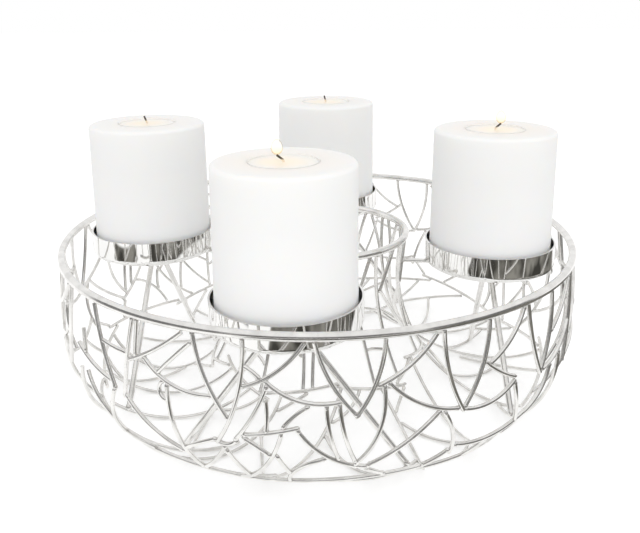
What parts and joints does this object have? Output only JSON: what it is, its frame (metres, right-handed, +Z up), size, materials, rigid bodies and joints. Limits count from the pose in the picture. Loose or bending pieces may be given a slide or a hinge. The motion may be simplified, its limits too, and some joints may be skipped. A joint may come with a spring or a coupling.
{
  "type": "advent candle holder",
  "caption": "Ring-shaped trough of welded polished wire with raised pans for pillar candles, which carry tealights.",
  "frame": {"origin": "on the table under the middle of the ring", "axes": "+Z up along the ring's axis, -Y towards the front candle's side, +X to the right seen from the front"},
  "size_m": [0.3524, 0.3527, 0.1891],
  "materials": {
    "polished_metal": "mirror polished",
    "candle_wax": "smooth wax",
    "tealight_wax": "smooth wax",
    "tealight_cup": "bare foil",
    "wick": "charred cotton",
    "sustainer": "tinned"
  },
  "bodies": {
    "holder": {"floor_wires_back": "polished_metal", "floor_wires_front": "polished_metal", "floor_wires_left": "polished_metal", "floor_wires_right": "polished_metal", "inner_rim_ring": "polished_metal", "inner_wires_back": "polished_metal", "inner_wires_front": "polished_metal", "inner_wires_left": "polished_metal", "inner_wires_right": "polished_metal", "outer_rim_ring": "polished_metal", "outer_wires_back": "polished_metal", "outer_wires_back_left": "polished_metal", "outer_wires_back_right": "polished_metal", "outer_wires_front": "polished_metal", "outer_wires_front_left": "polished_metal", "outer_wires_front_right": "polished_metal", "outer_wires_left": "polished_metal", "outer_wires_right": "polished_metal", "pan_back": "polished_metal", "pan_front": "polished_metal", "pan_left": "polished_metal", "pan_legs_back": "polished_metal", "pan_legs_front": "polished_metal", "pan_legs_left": "polished_metal", "pan_legs_right": "polished_metal", "pan_right": "polished_metal", "pan_strut_back": "polished_metal", "pan_strut_front": "polished_metal", "pan_strut_left": "polished_metal", "pan_strut_right": "polished_metal"},
    "candle_front": {"pillar_candle_front": "candle_wax"},
    "tealight_front": {"tealight_cup_front": "tealight_cup", "tealight_wax_front": "tealight_wax", "tealight_wick_front": "wick", "wick_sustainer_front": "sustainer"},
    "candle_right": {"pillar_candle_right": "candle_wax"},
    "tealight_right": {"tealight_cup_right": "tealight_cup", "tealight_wax_right": "tealight_wax", "tealight_wick_right": "wick", "wick_sustainer_right": "sustainer"},
    "candle_back": {"pillar_candle_back": "candle_wax"},
    "tealight_back": {"tealight_cup_back": "tealight_cup", "tealight_wax_back": "tealight_wax", "tealight_wick_back": "wick", "wick_sustainer_back": "sustainer"},
    "candle_left": {"pillar_candle_left": "candle_wax"},
    "tealight_left": {"tealight_cup_left": "tealight_cup", "tealight_wax_left": "tealight_wax", "tealight_wick_left": "wick", "wick_sustainer_left": "sustainer"}
  },
  "joints": [
    {"name": "candle_front_lift", "type": "slide", "parent": "holder", "child": "candle_front", "axis": [0, 0, 1], "range_m": [0, 0.12]},
    {"name": "tealight_front_lift", "type": "slide", "parent": "candle_front", "child": "tealight_front", "axis": [0, 0, 1], "range_m": [0, 0.06]},
    {"name": "candle_right_lift", "type": "slide", "parent": "holder", "child": "candle_right", "axis": [0, 0, 1], "range_m": [0, 0.12]},
    {"name": "tealight_right_lift", "type": "slide", "parent": "candle_right", "child": "tealight_right", "axis": [0, 0, 1], "range_m": [0, 0.06]},
    {"name": "candle_back_lift", "type": "slide", "parent": "holder", "child": "candle_back", "axis": [0, 0, 1], "range_m": [0, 0.12]},
    {"name": "tealight_back_lift", "type": "slide", "parent": "candle_back", "child": "tealight_back", "axis": [0, 0, 1], "range_m": [0, 0.06]},
    {"name": "candle_left_lift", "type": "slide", "parent": "holder", "child": "candle_left", "axis": [0, 0, 1], "range_m": [0, 0.12]},
    {"name": "tealight_left_lift", "type": "slide", "parent": "candle_left", "child": "tealight_left", "axis": [0, 0, 1], "range_m": [0, 0.06]}
  ]
}
